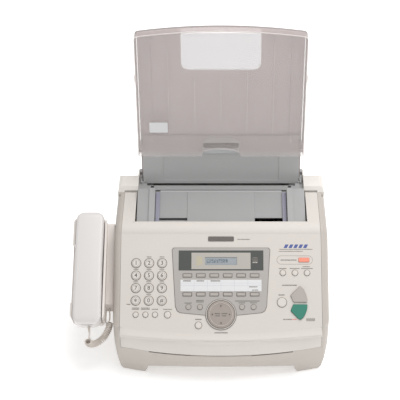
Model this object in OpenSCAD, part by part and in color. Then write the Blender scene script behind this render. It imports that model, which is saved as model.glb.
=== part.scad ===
// Desktop laser fax machine with an upright rear paper tray and a side handset.
// Millimetres, +Z up, front towards -Y. Origin: centre of the footprint on the table.

/* [Body] */
// Width of the white body without the handset
body_w = 354; // [320:1:400]
// Foremost point of the bowed front
front_y = -170; // [-190:1:-150]
// Rear face of the body
rear_y = 150; // [130:1:170]
// Radius of the bowed front seen from above
arc_r = 660; // [400:10:900]
// Radius of the front vertical corners
corner_r = 25; // [10:1:40]
// Radius of the rear vertical corners
rear_r = 12; // [5:1:25]
// Wall thickness of the casings
wall = 2.5; // [2:0.1:4]
// Underside of the side rails above the table
rail_z = 2; // [1:0.5:5]
// Underside of the casing floor above the table
floor_z = 8; // [5:1:15]
// Height of the print exit slot
slot_z = 57; // [50:1:65]
// Half width of the print exit slot
slot_x = 118; // [100:1:130]

/* [Control panel] */
// Height of the front edge of the panel plane
panel_z = 89; // [80:1:100]
// Position of the front edge of the panel plane
panel_y = -164; // [-170:1:-155]
// Slope of the panel
panel_tilt = 40; // [30:1:50]
// Skin thickness of the panel
skin = 3; // [2:0.5:4]
// Radius of the long side edges
edge_r = 12; // [6:1:16]
// Gap around each key
key_gap = 0.35; // [0.2:0.05:0.6]
// Radius of a dial key
dial_r = 7.2; // [5:0.1:8]
// Dial key pitch across the panel
dial_dx = 21.3; // [18:0.1:24]
// Dial key pitch up the panel
dial_dy = 20.6; // [18:0.1:24]
// Radius of the navigator key
nav_r = 22.5; // [18:0.5:25]

/* [Paper tray] */
// Half width of the tray cover
cover_x = 141; // [130:1:150]
// Lean of the tray from the vertical
tray_lean = 6; // [3:1:15]
// Depth of the tray cover box
cover_d = 24; // [15:1:30]
// Half width of the rear paper tray plate
tray_x = 115; // [110:1:125]

/* [Document feeder] */
// Half width of the document opening
open_x = 144; // [135:1:150]
// Slope of the document table
table_tilt = 20; // [10:1:30]
// Half distance between the document guides, fully open
guide_x = 112; // [105:1:115]

/* [Handset] */
// Middle of the handset from the middle of the body
rest_x = -218; // [-230:1:-210]
// Slope of the handset rest
rest_tilt = 31.5; // [25:0.5:40]
// Length of the handset
handset_l = 193; // [180:1:210]
// Width of the handset
handset_w = 46; // [40:1:55]
// Outer diameter of the curled cord
coil_d = 12.4; // [10:0.2:14]
// Diameter of the straight lead
lead_d = 4.2; // [3:0.1:6]

/* [Hidden] */
$fn = 48;
hb = body_w / 2;
arc_y = front_y + arc_r;
cor_x = hb - corner_r;
cor_y = arc_y - sqrt(pow(arc_r - corner_r, 2) - cor_x * cor_x);
origin_x = 34.5;
origin_y = 10;
hinge_y = 66.5;
hinge_z = 206;
seam_x = 165;
deck_y = panel_y + 134.4;
deck_z = panel_z + 134.4 * tan(panel_tilt);
gap = 0.5;
table_y = 5;
table_z = 186;
rest_y = -150;
rest_z = 106;
tens_y = 101;
tens_z = 208;
cov_y = 102;
cov_z = 264.5;
frame_x = 148;
screw_x = 155;
screw_y = [-100, 100];
key_top = 2;
key_flange = 1.4;
board_w = -14;
drum_yz = [-30, 88];
heat_yz = [-98, 80];
press_yz = [-98, 57.6];
trans_yz = [-30, 64.6];
exit_yz = [-134, 67];
pick_yz = [97, 168];
motor_yz = [-9.2, 63.3];
// Route of the curled cord, hanging from the handset back to the rest bracket
coil_path = [[-214.5, -155.5, 86], [-217, -153.5, 76], [-215, -149, 66.5], [-207, -142.5, 61],
    [-197, -134.5, 62.5], [-189, -126.5, 70.5], [-184.6, -118.5, 80.5], [-183.5, -111.5, 91.5]];

// Shared frames and shapes

module place() translate([origin_x, origin_y, 0]) children();

// u across, v up the slope, w out of the panel
module on_panel(u = 0, v = 0, w = 0)
    translate([0, panel_y, panel_z]) rotate([panel_tilt, 0, 0]) translate([u, v, w]) children();

module on_table(u = 0, v = 0, w = 0)
    translate([0, table_y, table_z]) rotate([table_tilt, 0, 0]) translate([u, v, w]) children();

module on_rest(u = 0, v = 0, w = 0)
    translate([rest_x, rest_y, rest_z]) rotate([rest_tilt, 0, 0]) translate([u, v, w]) children();

module on_cover(u = 0, v = 0, w = 0)
    translate([0, cov_y, cov_z]) rotate([90 - tray_lean, 0, 0]) translate([u, v, w]) children();

// Extrude a [y, z] outline across the body
module across(w, x0) translate([x0, 0, 0]) rotate([90, 0, 90]) linear_extrude(w) children();

// Extrude an [x, z] outline from y0 to y1
module along(y0, y1) translate([0, y1, 0]) rotate([90, 0, 0]) linear_extrude(y1 - y0) children();

module rod(r, x0, x1, yz, f = 48)
    translate([x0, yz[0], yz[1]]) rotate([0, 90, 0]) cylinder(r = r, h = x1 - x0, $fn = f);

module box(x, y, z) translate([x[0], y[0], z[0]]) cube([x[1] - x[0], y[1] - y[0], z[1] - z[0]]);

module round_rect(w, h, r) {
    translate([-w / 2 + r, -h / 2]) square([w - 2 * r, h]);
    translate([-w / 2, -h / 2 + r]) square([w, h - 2 * r]);
    for (sx = [-1, 1], sy = [-1, 1]) translate([sx * (w / 2 - r), sy * (h / 2 - r)]) circle(r = r);
}

// Footprint of the body, inset by i
module plan(i = 0) {
    tx = cor_x * (arc_r - i) / (arc_r - corner_r);
    intersection() {
        translate([0, arc_y]) circle(r = arc_r - i, $fn = 128);
        translate([-tx, front_y - 1]) square([2 * tx, cor_y - front_y + 10]);
    }
    translate([i - hb, cor_y]) square([2 * (hb - i), rear_y - rear_r - cor_y]);
    translate([rear_r - hb, cor_y]) square([2 * (hb - rear_r), rear_y - i - cor_y]);
    for (s = [-1, 1]) {
        translate([s * cor_x, cor_y]) circle(r = corner_r - i);
        translate([s * (hb - rear_r), rear_y - rear_r]) circle(r = rear_r - i);
    }
}

// Front face swept about a far centre, so the bow keeps one section everywhere
module bow(i = 0) translate([0, arc_y, 0]) rotate_extrude($fn = 128)
    polygon([[0, -1], [arc_r - 9 - i, -1], [arc_r - 1.5 - i, 54], [arc_r - i, 62],
        [arc_r - i, 81], [arc_r - 2.5 - i, 88], [arc_r - 2.5 - i, 240], [0, 240]]);

module body_block(i, z0, z1) intersection() {
    translate([0, 0, z0]) linear_extrude(z1 - z0) plan(i);
    bow(i);
}

// Outline of the lower casing from the front: rails, tucked sides
module rails(i) polygon([[-hb + i, 230], [-hb + i, 60], [-hb + 9 + i, 8], [-hb + 13 + i, rail_z + i],
    [-127 - i, rail_z + i], [-124.8 - i, floor_z + i], [124.8 + i, floor_z + i],
    [127 + i, rail_z + i], [hb - 13 - i, rail_z + i], [hb - 9 - i, 8], [hb - i, 60], [hb - i, 230]]);

module arch(i) {
    intersection() {
        translate([-121 - i, 10]) square([242 + 2 * i, 40]);
        translate([0, -641]) circle(r = 671 + i, $fn = 128);
    }
    polygon([[-126 - i, 0], [-121 - i, 19.4], [121 + i, 19.4], [126 + i, 0]]);
}

// Top outline seen from the side, lowered by i: panel, deck, up to the rear housing
function top_line(i) = [[-180, panel_z - 16 * tan(panel_tilt) - i / cos(panel_tilt)],
    [deck_y, deck_z - i * 1.05], [-4, 206 - i], [72, 211 - i]];

module edge_cuts() {
    on_panel(0, -30, 0) edge_cut(30 + 176);
    translate([0, deck_y - 1, deck_z - 0.2]) rotate([9.3, 0, 0]) edge_cut(28);
    translate([0, -5, 205.9]) rotate([3.8, 0, 0]) edge_cut(90);
}

module edge_cut(len) for (s = [0, 1]) mirror([s, 0, 0]) translate([hb - edge_r, 0, -edge_r])
    rotate([-90, 0, 0]) mirror([0, 1, 0]) linear_extrude(len) difference() {
        square([edge_r + 2, edge_r + 2]);
        circle(r = edge_r);
    }

// Casings

module lower_casing() {
    color("WhiteSmoke") difference() {
        intersection() {
            body_block(0, 0, 212);
            along(front_y - 5, rear_y + 1) rails(0);
            across(body_w + 10, -hb - 5) polygon(concat([[-180, -1]], top_line(0),
                [[72, 211], [72, 165], [rear_y + 5, 165], [rear_y + 5, -1]]));
        }
        difference() {
            intersection() {
                body_block(wall, 4, 230);
                along(front_y - 5, rear_y + 1) rails(wall);
                across(body_w + 10, -hb - 5) polygon(concat([[-180, -1]], top_line(skin),
                    [[73, 208.1], [73, 170], [rear_y + 5, 170], [rear_y + 5, -1]]));
            }
            along(front_y - 5, -115.5) arch(wall);
            for (x = [-135, 95], y = [-55, 55]) translate([x, y, 0]) cylinder(r = 4, h = 16);
            for (x = [-130, -35], y = [80, 125]) translate([x, y, 0]) cylinder(r = 4, h = 16);
            for (s = [-1, 1], y = screw_y)
                box([s * screw_x - 5, s * screw_x + 5], [y - 10, y + 10], [0, 12]);
            // solid tops of the side arms, round the hinge pins of the top cover
            for (x = [-hb - 1, seam_x - 2]) across(hb + 3 - seam_x, x)
                polygon(concat(top_line(13), [[74, 192], [74, 230], [-190, 230]]));
        }
        // bay of the top cover
        box([-seam_x, seam_x], [front_y - 5, 80], [59.5, 230]);
        for (s = [-1, 1]) rod(3.08, s * 169 - 5, s * 169 + 5, [hinge_y, hinge_z]);
        edge_cuts();
        along(front_y - 10, -118) arch(0);
        // print exit slot
        box([-slot_x, slot_x], [front_y - 5, -140], [slot_z, 70]);
        // speaker grille in the left side
        for (k = [0:6]) box([-hb - 5, -hb + 5], [57.5 + k * 7, 60.5 + k * 7], [70, 102]);
        // fan grille and sockets in the rear wall
        for (k = [0:6]) box([63, 117], [rear_y - 5, rear_y + 5], [35 + k * 8, 39 + k * 8]);
        box([-130, -100], [rear_y - 5, rear_y + 5], [30, 54]);
        for (x = [-84, -66]) box([x, x + 14], [rear_y - 5, rear_y + 5], [30, 44]);
        for (x = [-screw_x, screw_x], y = screw_y) translate([x, y, 0]) {
            cylinder(r = 4.4, h = 4.6);
            cylinder(r = 1.6, h = 20);
        }
    }
}

module rear_housing() {
    color("WhiteSmoke") difference() {
        union() {
            difference() {
                intersection() {
                    body_block(0, 165, 222);
                    across(body_w + 10, -hb - 5) polygon([[72, 165], [72, 211], [79, 218.5], [88, 220.5],
                        [106, 220], [113, 216], [rear_y + 5, 180], [rear_y + 5, 165]]);
                }
                intersection() {
                    body_block(wall, 160, 220);
                    across(body_w + 10, -hb - 5) polygon([[77, 160], [77, 210], [80.5, 215.8], [88, 217.8],
                        [105.5, 217.3], [111, 214], [rear_y + 5, 177], [rear_y + 5, 160]]);
                    // lower at the sides, under the rounded edges
                    union() {
                        box([2 - seam_x, seam_x - 2], [60, rear_y + 5], [155, 225]);
                        box([-hb, hb], [60, rear_y + 5], [155, 205.5]);
                    }
                }
            }
            // cheeks beside the tray bay and the web behind it
            for (s = [-1, 1]) box([s * 143.2 - 1.2, s * 143.2 + 1.2], [74, 134], [168, 214]);
            box([-143, 143], [133, 136], [168, 190]);
        }
        box([-142, 142], [60, 133], [196, 230]);
        box([-142, 142], [132, 160], [191, 230]);
        // swing of the rear edge of the top cover
        rod(7.7, -seam_x, seam_x, [hinge_y, hinge_z]);
        box([-seam_x, seam_x], [60, 74.2], [hinge_z, 230]);
        box([-seam_x, seam_x], [60, 72.4], [160, hinge_z]);
        translate([0, 71, 220.5]) edge_cut(90);
        // shaft of the pickup roller
        rod(3.08, -147, 147, pick_yz);
    }
}

module rubber_feet() {
    color("DimGray") for (x = [-146, 146], y = [-128, 128])
        translate([x, y, 0]) cylinder(r = 9, h = rail_z);
}

module casing_screws() {
    color("Silver") for (x = [-screw_x, screw_x], y = screw_y) translate([x, y, 0]) difference() {
        union() {
            translate([0, 0, 2.2]) cylinder(r = 4.1, h = 2.4);
            translate([0, 0, 2.2]) cylinder(r = 1.55, h = 13);
        }
        cylinder(r = 1.6, h = 3.4, $fn = 6);
    }
}

// Frame, electronics and drive

module side_frames() {
    color("Silver") for (s = [0, 1]) mirror([s, 0, 0]) difference() {
        union() {
            across(2, frame_x) difference() {
                polygon([[-112, 12], [-143, 22], [-143, 74], [-118, 92], [-80, 100], [40, 150], [55, 163.5],
                    [77.8, 163.5], [77.8, 182], [84, 190], [126, 190], [126, 12]]);
                polygon([[50, 40], [50, 120], [80, 150], [110, 150], [110, 40]]);
            }
            // foot flange on the casing rail
            for (y = screw_y) box([frame_x, screw_x + 5], [y - 10, y + 10], [12, 14]);
        }
        for (p = [[3.08, exit_yz], [3.08, press_yz], [3.08, heat_yz], [3.08, trans_yz], [4.08, drum_yz],
            [3.08, pick_yz]]) rod(p[0], frame_x - 1, frame_x + 3, p[1]);
        if (s == 0) rod(3, frame_x - 1, frame_x + 3, motor_yz);
        for (y = screw_y) translate([screw_x, y, 11]) cylinder(r = 1.6, h = 4);
    }
    // tie plate between the frames
    color("Silver") box([-frame_x, frame_x], [46, 48], [60, 100]);
}

module main_board() {
    color("SeaGreen") box([-142, 102], [-62, 52.5], [16, 17.6]);
    color("DimGray") {
        for (x = [-100, -40, 20]) box([x, x + 28], [-30, -2], [17.6, 20]);
        for (x = [-110, -80, -50], y = [20]) box([x, x + 14], [y, y + 20], [17.6, 20]);
        box([60, 92], [-40, 30], [17.6, 26]);
        for (x = [0, 20, 40]) translate([x, 35, 17.6]) cylinder(r = 5, h = 12);
    }
}

module power_supply() {
    color("Goldenrod") box([-137, -28], [74, 127.5], [16, 17.6]);
    color("DimGray") {
        translate([-60, 100, 17.6]) cylinder(r = 11, h = 28);
        box([-115, -85], [85, 115], [17.6, 44]);
        for (k = [0:4]) box([-45 + k * 3, -43.6 + k * 3], [80, 122], [17.6, 48]);
    }
}

module laser_scanner() {
    color("DimGray") difference() {
        across(220, -110) polygon([[-44, 128], [54, 139.5], [54, 162], [-22, 154], [-44, 146]]);
        across(214, -107) polygon([[-41, 131.5], [51, 142.3], [51, 164], [-22, 157], [-41, 150]]);
        box([-100, 100], [-45, -40], [133, 142]);
    }
    // arms to the side frames
    color("DimGray") for (s = [-1, 1]) box([s * 128 - 20, s * 128 + 20], [42, 48], [135.5, 141.5]);
    // mirror wheel
    color("Silver") translate([0, 20, 138]) rotate([6.7, 0, 0]) cylinder(r = 14, h = 14, $fn = 6);
}

module toner_cartridge() {
    color([0.16, 0.16, 0.17]) difference() {
        union() {
            across(250, -125) polygon([[-12, 76.5], [45, 76.5], [45, 124], [0, 124], [-48, 109], [-48, 105],
                [-12, 105]]);
            for (s = [-1, 1]) across(3, s * 126.5 - 1.5) polygon([[-48, 78], [45, 76.5], [45, 124], [0, 124],
                [-48, 109]]);
        }
        across(244, -122) polygon([[-9, 79.5], [42, 79.5], [42, 121], [1, 121], [-9, 117.5]]);
        box([-120, 120], [-13, -8], [84, 96]);
        for (s = [-1, 1]) rod(4.08, s * 126.5 - 3, s * 126.5 + 3, drum_yz);
        translate([90, 20, 110]) cylinder(r = 12, h = 20);
    }
}

module gear(r, teeth, x0, w, yz, turn = 0) {
    rod(r - 1.2, x0, x0 + w, yz);
    translate([x0, yz[0], yz[1]]) rotate([90, 0, 90]) linear_extrude(w)
        for (k = [0:teeth - 1]) rotate(k * 360 / teeth + turn)
            polygon([[r - 1.6, -0.95], [r + 0.9, -0.42], [r + 0.9, 0.42], [r - 1.6, 0.95]]);
}

module opc_drum() {
    color("SteelBlue") rod(15, -121, 121, drum_yz);
    color("Silver") rod(4, -frame_x - 2, 160, drum_yz);
    color("Ivory") gear(26, 52, 152, 6, drum_yz, 0);
}

module motor_pinion() {
    color("Ivory") {
        gear(6, 12, 152, 7, motor_yz, 18.9);
        rod(1.5, 129, 159, motor_yz);
    }
}

module main_motor() {
    color("Gray") difference() {
        union() {
            rod(11.5, 118, frame_x, motor_yz);
            across(2, frame_x - 2) polygon([for (a = [0:30:330]) [motor_yz[0] + 12.2 * cos(a),
                motor_yz[1] + 12.2 * sin(a)]]);
        }
        rod(1.58, frame_x - 20, frame_x + 1, motor_yz);
    }
}

module transfer_roller() {
    color([0.2, 0.2, 0.2]) rod(8, -112, 112, trans_yz);
    color("Silver") rod(3, -frame_x - 2, frame_x + 2, trans_yz);
}

module fuser_frame() {
    color([0.25, 0.25, 0.26]) difference() {
        across(270, -135) polygon([[-118, 76], [-118, 100], [-84, 100], [-78, 90], [-78, 76]]);
        across(262, -131) polygon([[-116, 75], [-116, 98], [-85, 98], [-80, 89], [-80, 75]]);
        rod(3.6, -140, 140, heat_yz);
    }
    color([0.25, 0.25, 0.26]) for (s = [-1, 1]) difference() {
        box([s * 141.5 - 6.5, s * 141.5 + 6.5], [-112, -84], [86, 96]);
        rod(3.6, -150, 150, heat_yz);
    }
}

module heat_roller() {
    color("IndianRed") rod(11, -124, 124, heat_yz);
    color("Silver") rod(3, -frame_x - 2, frame_x + 2, heat_yz);
}

module pressure_roller() {
    color([0.3, 0.3, 0.3]) rod(11, -118, 118, press_yz);
    color("Silver") rod(3, -frame_x - 2, frame_x + 2, press_yz);
}

module exit_rollers() {
    color("Silver") rod(3, -frame_x - 2, frame_x + 2, exit_yz);
    color([0.2, 0.2, 0.2]) for (x = [-90, -30, 30, 90]) rod(8.5, x - 8, x + 8, exit_yz);
}

module pickup_roller() {
    color("Silver") rod(3, -frame_x - 2, frame_x + 2, pick_yz);
    color([0.2, 0.2, 0.2]) rod(14, -26, 26, pick_yz);
}

module cooling_fan() {
    color([0.18, 0.18, 0.18]) difference() {
        box([60, 120], [132.5, rear_y - wall], [30, 90]);
        translate([90, 130, 60]) rotate([-90, 0, 0]) cylinder(r = 28, h = 30);
    }
    color([0.18, 0.18, 0.18]) {
        translate([90, 145.2, 60]) rotate([-90, 0, 0]) cylinder(r = 11, h = 2.3);
        for (a = [45, 135]) translate([90, 146.3, 60]) rotate([0, a, 0]) cube([58, 2.4, 3], center = true);
    }
}

module fan_rotor() {
    color([0.25, 0.25, 0.25]) translate([90, 134, 60]) rotate([-90, 0, 0]) {
        cylinder(r = 11, h = 10.8);
        for (k = [0:6]) rotate(k * 360 / 7) translate([10, 0, 5.4]) rotate([35, 0, 0])
            translate([0, -0.6, -4.6]) cube([16.4, 1.2, 9.2]);
    }
}

module speaker() {
    color([0.2, 0.2, 0.22]) difference() {
        union() {
            rod(23, wall - hb, -168, [80, 86]);
            rod(12, -168, -158, [80, 86]);
        }
        rod(19, -180, -172, [80, 86]);
    }
    color("DimGray") rod(7, -172, -170, [80, 86]);
}

module rear_sockets() {
    color([0.12, 0.12, 0.12]) difference() {
        box([-130, -100], [128, rear_y], [30, 54]);
        box([-127, -103], [138, rear_y + 2], [33, 51]);
    }
    color("Silver") for (x = [-121, -109], z = [39]) translate([x, 138, z]) rotate([-90, 0, 0])
        cylinder(r = 2, h = 10);
    color("Ivory") for (x = [-84, -66]) difference() {
        box([x, x + 14], [130, rear_y], [30, 44]);
        box([x + 2, x + 12], [136, rear_y + 2], [33, 41]);
    }
}

// Handset side

module handset_cradle() {
    color("Gainsboro") {
        difference() {
            on_rest() translate([0, 100, -40]) linear_extrude(42) round_rect(56, 176, 10);
            on_rest() {
                // seats of the earpiece, mouthpiece and grip
                for (v = [-10, 143]) box([-24.3, 24.3], [v, v + 68], [-26, 20]);
                box([-24.3, 24.3], [0, 200], [-13, 20]);
                box([-60, -15], [40, 140], [-12.9, 20]);
                // hollow underside
                box([-25.5, 25.5], [15, 56], [-45, -28.5]);
                box([-25.5, 25.5], [60, 140], [-45, -15.5]);
                box([-25.5, 25.5], [144, 185], [-45, -28.5]);
                // hook switch hole
                box([-4.3, 4.3], [165.7, 178.3], [-30, -20]);
            }
        }
        // bracket to the side of the body
        across(12.2, rest_x + 27.8) polygon([[-104, 97], [-104, 113], [2, 194], [9, 192], [9, 178]]);
        across(1.6, -hb - 1.6) polygon([[-96, 100], [-96, 112], [0, 186], [0, 176]]);
    }
}

module hook_switch() {
    color("WhiteSmoke") on_rest() {
        box([-3.9, 3.9], [166, 178], [-31.2, -25.1]);
        box([-5.5, 5.5], [164.5, 179.5], [-31.2, -28.8]);
    }
}

module handset() {
    color("WhiteSmoke") difference() {
        intersection() {
            on_rest() translate([0, 100, -30]) linear_extrude(60) round_rect(handset_w, handset_l, 14);
            translate([0, rest_y, rest_z]) rotate([rest_tilt, 0, 0]) across(100, rest_x - 50)
                polygon([[0, -12], [0, 6], [12, 11.5], [50, 14.5], [100, 15.5], [150, 14.5], [188, 11.5],
                    [200, 6], [200, -14], [192, -24], [150, -25], [144, -11], [58, -11], [52, -25],
                    [10, -24]]);
        }
        // microphone holes, earpiece holes and the cord socket
        on_rest() {
            for (a = [0:60:300]) translate([6 * cos(a), 28 + 6 * sin(a), -30]) cylinder(r = 1, h = 8);
            for (a = [0:60:300]) translate([8 * cos(a), 172 + 8 * sin(a), -30]) cylinder(r = 1, h = 8);
            box([-4.6 + 3, 4.6 + 3], [0, 11], [-13, -5]);
        }
    }
}

function unit(a) = a / norm(a);
function side_of(t) = unit(cross(t, [0.31, -0.2, 0.93]));
function tangent(p, k) = unit(p[min(k + 1, len(p) - 1)] - p[max(k - 1, 0)]);
// Smooth point on the route between its samples
function route(p, n) = [for (i = [0:n]) let (t = i / n * (len(p) - 1), k = min(floor(t), len(p) - 2),
    f = t - k, a = p[max(k - 1, 0)], b = p[k], c = p[k + 1], d = p[min(k + 2, len(p) - 1)])
    0.5 * (2 * b + (c - a) * f + (2 * a - 5 * b + 4 * c - d) * f * f + (3 * b - a - 3 * c + d) * f * f * f)];

module tube(p, r, sides = 10) {
    n = len(p);
    pts = [for (k = [0:n - 1]) let (t = tangent(p, k), u = side_of(t), v = cross(t, u))
        for (j = [0:sides - 1]) p[k] + r * (cos(360 * j / sides) * u + sin(360 * j / sides) * v)];
    polyhedron(pts, concat([[for (j = [0:sides - 1]) j]],
        [[for (j = [sides - 1:-1:0]) (n - 1) * sides + j]],
        [for (k = [0:n - 2], j = [0:sides - 1]) let (m = (j + 1) % sides)
            [k * sides + j, (k + 1) * sides + j, (k + 1) * sides + m, k * sides + m]]));
}

module handset_cord() {
    color("Gainsboro") {
        tube(route(coil_path, 30), coil_d / 2, 12);
        tube([[-215, -142.8, 99.8], [-215, -149.5, 95.7], [-214.7, -154, 91], [-214.5, -155.3, 86]], lead_d / 2);
        tube([[-183.5, -111.5, 91.5], [-183.8, -109.2, 97], [-184, -105.6, 101.4]], lead_d / 2);
    }
}

// Paper tray

module on_tension(u = 0, v = 0, w = 0)
    translate([0, tens_y, tens_z]) rotate([78, 0, 0]) translate([u, v, w]) children();

module tray_base() {
    color("DarkGray") difference() {
        union() {
            box([-142, 142], [79.8, 132.7], [196, 210]);
            for (s = [-1, 1]) box([s * 138 - 1.5, s * 138 + 1.5], [96, 107], [203, 214]);
            box([-142, 142], [124, 132.7], [196, 216]);
        }
        box([-128, 128], [91, 99], [205.5, 220]);
        box([-135.8, 135.8], [98.5, 113], [203, 220]);
        box([-118, 118], [101, 113.5], [190, 220]);
        // seat of the rear tray plate
        on_cover() box([-137.6, 137.6], [-63, 40], [-22.5, -20]);
        for (s = [-1, 1]) rod(2.08, s * 138 - 3, s * 138 + 3, [tens_y + 1.2, tens_z + 1.5]);
    }
}

module tension_plate() {
    color("Gray") {
        difference() {
            on_tension() box([-134.5, 134.5], [0, 89], [-2.6, 0]);
            on_tension() box([-100, 100], [6, 95], [-1, 1]);
            on_tension() box([-30, 30], [66, 80], [-5, 1]);
        }
        for (s = [-1, 1]) {
            rod(1.98, s * 136.4 - 3, s * 136.4 + 3, [tens_y + 1.2, tens_z + 1.5]);
            on_tension() box([s * 133.5 - 1, s * 133.5 + 1], [-1.4, 5], [-4, 0.6]);
        }
        // arched hand grip
        on_tension() difference() {
            translate([0, 30, -4]) cylinder(r = 60, h = 6);
            box([-70, 70], [-40, 77], [-10, 10]);
            for (s = [-1, 1]) box([s * 52 - 20, s * 52 + 20], [60, 100], [-10, 10]);
            box([-70, 70], [86, 100], [-10, 10]);
        }
    }
}

module paper_tray() {
    color([0.75, 0.72, 0.7]) on_cover() difference() {
        union() {
            box([-137.2, 137.2], [-63, 24], [-22.5, -20]);
            translate([0, 0, -22.5]) linear_extrude(2.5) intersection() {
                cover_face(3.4);
                translate([-tray_x, 0]) square([2 * tray_x, 260]);
            }
            // thinner wings beside the paper
            translate([0, 0, -22.5]) linear_extrude(1.5) intersection() {
                cover_face(3.4);
                translate([-137.2, 20]) square([274.4, 240]);
            }
            for (u = [-88, -44, 0, 44, 88]) box([u - 0.8, u + 0.8], [28, 212], [-20, -18.6]);
            for (s = [-1, 1]) {
                box([s * 136.2 - 1, s * 136.2 + 1], [8, 24], [-22, -3.2]);
                translate([s * 136.2 - 1, 8, -5]) rotate([0, 90, 0]) cylinder(r = 2.3, h = 2);
                translate([s * 138.4 - 2.2, 8, -5]) rotate([0, 90, 0]) cylinder(r = 2, h = 4.4);
            }
        }
        translate([0, 194, -30]) linear_extrude(20) round_rect(132, 84, 12);
    }
}

module cover_face(i) {
    cr = 6;
    cv = sqrt(pow(1000 - cr, 2) - pow(cover_x - cr, 2)) - 769;
    intersection() {
        translate([0, -769]) circle(r = 1000 - i, $fn = 128);
        translate([cr - cover_x, -5]) square([2 * (cover_x - cr), 300]);
    }
    translate([i - cover_x, -5]) square([2 * (cover_x - i), cv + 5]);
    for (s = [-1, 1]) translate([s * (cover_x - cr), cv]) circle(r = cr - i);
}

module tray_cover() {
    color([0.7, 0.66, 0.65]) on_cover() difference() {
        union() {
            difference() {
                translate([0, 0, -cover_d]) linear_extrude(cover_d) cover_face(0);
                translate([0, 0, -cover_d - 1]) linear_extrude(cover_d - 1.5) cover_face(2.5);
            }
            // arched finger lip
            difference() {
                translate([0, -68, -2]) cylinder(r = 94, h = 7);
                translate([0, -68, -3]) cylinder(r = 84, h = 9);
                for (s = [-1, 1]) box([s * 71 - 39, s * 71 + 39], [-180, 40], [-10, 10]);
                box([-120, 120], [-180, 0], [-10, 10]);
            }
        }
        box([-150, 150], [-10, 0], [-40, 10]);
        intersection() {
            translate([0, -68, -5]) cylinder(r = 84, h = 12);
            box([-32, 32], [-1, 40], [-6, 12]);
        }
        for (s = [-1, 1]) translate([s * 140 - 3, 8, -5]) rotate([0, 90, 0]) cylinder(r = 2.08, h = 6);
        box([-134, 134], [-1, 9], [-cover_d - 1, -2.4]);
    }
}

// Top cover and everything that opens with it

module bezel_shape() polygon([[-77, 152], [77, 152], [80, 149], [74, 56], [71, 48.5], [66, 45.5],
    [24, 41.3], [-24, 41.3], [-66, 45.5], [-71, 48.5], [-74, 56], [-80, 149]]);

module copy_shape() polygon([[113.5, 73.7], [128.2, 88], [129.6, 88.5], [131, 87.8], [135, 83.2],
    [138.7, 74], [140.6, 66.5], [140.4, 62.7], [118.5, 62.7]]);

module start_shape() polygon([[117.9, 58.8], [140.6, 58.8], [140.1, 51.6], [137.5, 44.1], [134, 38],
    [130.3, 34.6], [128, 34.3], [124.8, 36.6], [113.6, 48.3]]);

dial_at = [for (row = [0:3], col = [0:2]) [(col - 1) * dial_dx - 118, 126.8 - row * dial_dy]];
small_keys = [[-139, 42, 4.2], [-123, 42, 4.2], [-107.5, 42, 4.2], [-87, 42, 5.2], [-36.7, 24.7, 5.4],
    [-53, 54.5, 4], [-34.2, 54.5, 4], [34.2, 54.5, 4], [53, 54.5, 4],
    [101.3, 110.7, 4.6], [121.2, 110.7, 4.6], [141, 110.7, 4.6]];
touch_at = [for (row = [0:1], k = [0:5]) [k * 22 - 55, 106.4 - row * 31.1]];

// Holes for every key, in panel coordinates
module key_holes() {
    for (p = dial_at) translate([p[0], p[1], -20]) cylinder(r = dial_r + key_gap, h = 40);
    for (p = small_keys) translate([p[0], p[1], -20]) cylinder(r = p[2] + key_gap, h = 40);
    for (p = touch_at) translate([p[0], p[1], -20]) linear_extrude(40)
        square([14, 5.2], center = true);
    translate([99.3, 62, -20]) cylinder(r = 7.6 + key_gap, h = 40);
    translate([0, 42.5, -20]) cylinder(r = nav_r + 0.5, h = 40);
    translate([136.2, 132.2, -20]) linear_extrude(40) round_rect(18, 7.4, 1.6);
    for (d = [-0.3, 0, 0.3]) translate([d, 0, -20]) linear_extrude(40) {
        translate([0, 0.3]) copy_shape();
        translate([0, -0.3]) copy_shape();
        translate([0, 0.3]) start_shape();
        translate([0, -0.3]) start_shape();
    }
}

module top_cover() {
    color("WhiteSmoke") difference() {
        union() {
            difference() {
                intersection() {
                    body_block(0, 55, 212);
                    across(329.2, -164.6) polygon(concat([[-180, 60]], top_line(0),
                        [[72, 181], [-14, 177], [-140, 66], [-140, 60]]));
                }
                intersection() {
                    body_block(skin, 40, 215);
                    across(324, -162) polygon(concat([[-180, 40]], top_line(skin), [[72, 40]]));
                }
            }
            for (s = [-1, 1]) {
                box([s * 145 - 1, s * 145 + 1], [-4, 71], [178, 206.5]);
                box([s * 154 - 9, s * 154 + 9], [68.5, 71.4], [184, 208]);
                rod(4.4, s * 161.5 - 3, s * 161.5 + 3, [hinge_y, hinge_z]);
                rod(3, s * 166 - 6, s * 166 + 6, [hinge_y, hinge_z]);
            }
            // posts for the panel board
            for (u = [-152, 152], v = [24, 90, 150]) on_panel(u, v, -12.4) cylinder(r = 2.5, h = 11);
            for (p = [[-72, 24], [85, 20], [90, 152], [-100, 150]])
                on_panel(p[0], p[1], -12.4) cylinder(r = 2.5, h = 11);
        }
        box([-open_x, open_x], [-2, 80], [150, 230]);
        box([-200, 200], [71.4, 90], [150, 230]);
        difference() {
            rod(40, -164.7, 164.7, [hinge_y, hinge_z]);
            rod(7.2, -170, 170, [hinge_y, hinge_z]);
            box([-200, 200], [0, hinge_y + 5], [150, 260]);
            box([-200, 200], [0, 120], [150, hinge_z]);
        }
        on_panel() key_holes();
        on_panel(0, 0, -4) linear_extrude(8) bezel_shape();
    }
}

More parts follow.
